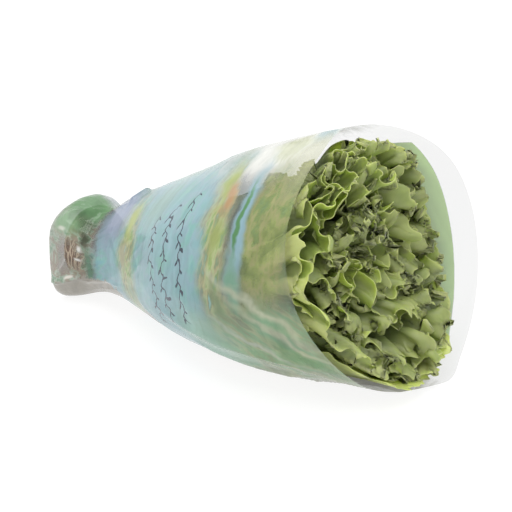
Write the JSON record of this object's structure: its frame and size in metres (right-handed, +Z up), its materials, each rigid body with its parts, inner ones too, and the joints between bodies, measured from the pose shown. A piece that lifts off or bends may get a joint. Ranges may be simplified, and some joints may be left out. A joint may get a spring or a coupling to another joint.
{
  "type": "green leaf lettuce head",
  "caption": "Green leaf lettuce head with its root ball, lying on its side in an open film sleeve that narrows to a closed end.",
  "frame": {"origin": "on the surface it lies on, in the middle of the flat strip under the sleeve's belly, 200 mm from the closed end", "axes": "+X along the sleeve from the closed end to the mouth, +Z up, -Y to the side of the shorter front panel"},
  "size_m": [0.3642, 0.1932, 0.2011],
  "materials": {
    "leaf": "soft satin, light yellow-green leaf",
    "peat": "rough, damp, with pale roots",
    "film": "thin glossy clear plastic film with a pale printed wash"
  },
  "bodies": {
    "root": {"lettuce_head": "leaf", "root_ball": "peat", "sleeve": "film"}
  },
  "joints": []
}
